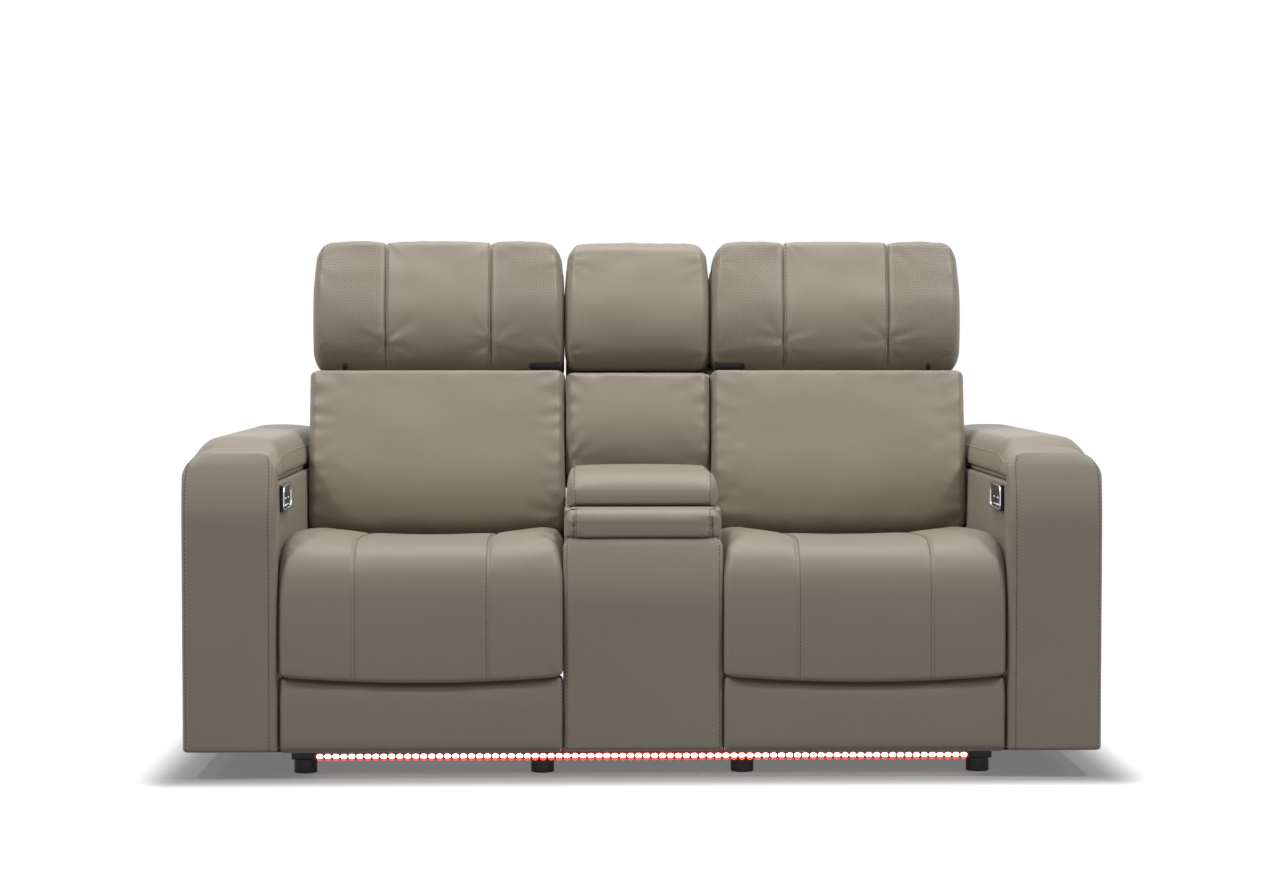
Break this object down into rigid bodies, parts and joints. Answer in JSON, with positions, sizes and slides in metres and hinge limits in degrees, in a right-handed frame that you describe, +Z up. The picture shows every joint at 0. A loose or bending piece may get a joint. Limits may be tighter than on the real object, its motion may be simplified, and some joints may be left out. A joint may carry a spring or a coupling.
{
  "type": "two seat power recliner",
  "caption": "Two-seat power cinema recliner: sliding seats with reclining backs, tilting headrests, swinging leg rests, storage arms and a lidded centre console.",
  "frame": {"origin": "on the floor under the middle of the unit", "axes": "+X to the viewer's right along the width, -Y towards the front, +Z up"},
  "size_m": [1.9, 1, 1.1307],
  "materials": {
    "leather": "satin",
    "timber": "matte",
    "black_steel": "satin",
    "bright_steel": "satin",
    "black_plastic": "matte",
    "chrome": "gloss",
    "strip": "gloss",
    "key_plastic": "gloss"
  },
  "bodies": {
    "base": {"base_frame": "black_steel", "base_feet": "black_plastic", "guide_stands": "black_steel", "actuator_rods": "bright_steel", "led_strip": "strip", "power_supply": "black_plastic", "lid_hinges": "bright_steel", "console_frame": "timber", "console_cover": "leather", "console_front": "leather", "console_back_frame": "timber", "console_back_cushion": "leather", "console_head_cushion": "leather", "console_back_shell": "leather", "arm_frame_left": "timber", "arm_frame_right": "timber", "arm_cover_left": "leather", "arm_cover_right": "leather", "arm_front_left": "leather", "arm_front_right": "leather", "control_panel_left": "chrome", "control_panel_right": "chrome"},
    "console_lid": {"console_lid": "leather"},
    "seat_right": {"seat_frame_right": "black_steel", "seat_springs_right": "bright_steel", "seat_cushion_right": "leather", "front_roll_right": "leather", "seat_actuator_right": "black_steel"},
    "footrest_right": {"footrest_board_right": "timber", "footrest_brackets_right": "black_steel", "footrest_pad_right": "leather"},
    "stays_right": {"footrest_stays_right": "black_steel"},
    "back_right": {"back_frame_right": "black_steel", "back_cushion_right": "leather", "back_shell_right": "leather"},
    "head_right": {"head_cushion_right": "leather", "head_frame_right": "black_steel"},
    "arm_lid_right": {"arm_lid_right": "leather"},
    "recline_switch_right": {"recline_switch_right": "key_plastic"},
    "head_switch_right": {"head_switch_right": "key_plastic"},
    "light_switch_right": {"light_switch_right": "key_plastic"},
    "seat_left": {"seat_frame_left": "black_steel", "seat_springs_left": "bright_steel", "seat_cushion_left": "leather", "front_roll_left": "leather", "seat_actuator_left": "black_steel"},
    "footrest_left": {"footrest_board_left": "timber", "footrest_brackets_left": "black_steel", "footrest_pad_left": "leather"},
    "stays_left": {"footrest_stays_left": "black_steel"},
    "back_left": {"back_frame_left": "black_steel", "back_cushion_left": "leather", "back_shell_left": "leather"},
    "head_left": {"head_cushion_left": "leather", "head_frame_left": "black_steel"},
    "arm_lid_left": {"arm_lid_left": "leather"},
    "recline_switch_left": {"recline_switch_left": "key_plastic"},
    "head_switch_left": {"head_switch_left": "key_plastic"},
    "light_switch_left": {"light_switch_left": "key_plastic"}
  },
  "joints": [
    {"name": "seat_slide_right", "type": "slide", "parent": "base", "child": "seat_right", "axis": [0, -1, 0], "range_m": [0, 0.08]},
    {"name": "recline_right", "type": "hinge", "parent": "seat_right", "child": "back_right", "pos_m": [0.4585, 0.11, 0.3], "axis": [-1, 0, 0], "range_deg": [0, 38]},
    {"name": "headrest_right", "type": "hinge", "parent": "back_right", "child": "head_right", "pos_m": [0.4585, 0.18523, 0.84813], "axis": [1, 0, 0], "range_deg": [0, 35]},
    {"name": "footrest_right", "type": "hinge", "parent": "seat_right", "child": "footrest_right", "pos_m": [0.4585, -0.425, 0.38], "axis": [-1, 0, 0], "range_deg": [0, 80], "deforming": ["front_roll_right"]},
    {"name": "stays_right", "type": "hinge", "parent": "seat_right", "child": "stays_right", "pos_m": [0.4585, -0.425, 0.24], "axis": [-1, 0, 0], "range_deg": [0, 160]},
    {"name": "arm_lid_right", "type": "hinge", "parent": "base", "child": "arm_lid_right", "pos_m": [0.941, 0, 0.619], "axis": [0, 1, 0], "range_deg": [0, 90]},
    {"name": "recline_switch_right", "type": "hinge", "parent": "base", "child": "recline_switch_right", "pos_m": [0.748, -0.41, 0.577], "axis": [0, 0, 1], "range_deg": [-5, 5], "stiffness_Nm_per_rad": 0.2},
    {"name": "head_switch_right", "type": "hinge", "parent": "base", "child": "head_switch_right", "pos_m": [0.748, -0.363, 0.577], "axis": [0, 0, 1], "range_deg": [-5, 5], "stiffness_Nm_per_rad": 0.2},
    {"name": "light_switch_right", "type": "slide", "parent": "base", "child": "light_switch_right", "axis": [1, 0, 0], "range_m": [0, 0.0015], "stiffness_N_per_m": 300},
    {"name": "seat_slide_left", "type": "slide", "parent": "base", "child": "seat_left", "axis": [0, -1, 0], "range_m": [0, 0.08]},
    {"name": "recline_left", "type": "hinge", "parent": "seat_left", "child": "back_left", "pos_m": [-0.4585, 0.11, 0.3], "axis": [-1, 0, 0], "range_deg": [0, 38]},
    {"name": "headrest_left", "type": "hinge", "parent": "back_left", "child": "head_left", "pos_m": [-0.4585, 0.18523, 0.84813], "axis": [1, 0, 0], "range_deg": [0, 35]},
    {"name": "footrest_left", "type": "hinge", "parent": "seat_left", "child": "footrest_left", "pos_m": [-0.4585, -0.425, 0.38], "axis": [-1, 0, 0], "range_deg": [0, 80], "deforming": ["front_roll_left"]},
    {"name": "stays_left", "type": "hinge", "parent": "seat_left", "child": "stays_left", "pos_m": [-0.4585, -0.425, 0.24], "axis": [-1, 0, 0], "range_deg": [0, 160]},
    {"name": "arm_lid_left", "type": "hinge", "parent": "base", "child": "arm_lid_left", "pos_m": [-0.941, 0, 0.619], "axis": [0, -1, 0], "range_deg": [0, 90]},
    {"name": "recline_switch_left", "type": "hinge", "parent": "base", "child": "recline_switch_left", "pos_m": [-0.748, -0.41, 0.577], "axis": [0, 0, 1], "range_deg": [-5, 5], "stiffness_Nm_per_rad": 0.2},
    {"name": "head_switch_left", "type": "hinge", "parent": "base", "child": "head_switch_left", "pos_m": [-0.748, -0.363, 0.577], "axis": [0, 0, 1], "range_deg": [-5, 5], "stiffness_Nm_per_rad": 0.2},
    {"name": "light_switch_left", "type": "slide", "parent": "base", "child": "light_switch_left", "axis": [-1, 0, 0], "range_m": [0, 0.0015], "stiffness_N_per_m": 300},
    {"name": "console_lid", "type": "hinge", "parent": "base", "child": "console_lid", "pos_m": [0, -0.038, 0.563], "axis": [-1, 0, 0], "range_deg": [0, 82]}
  ],
  "couplings": [
    {"joint": "recline_right", "follows": "seat_slide_right", "rad_per_m": 8.28},
    {"joint": "stays_right", "follows": "footrest_right", "ratio": 2},
    {"joint": "recline_left", "follows": "seat_slide_left", "rad_per_m": 8.28},
    {"joint": "stays_left", "follows": "footrest_left", "ratio": 2}
  ]
}
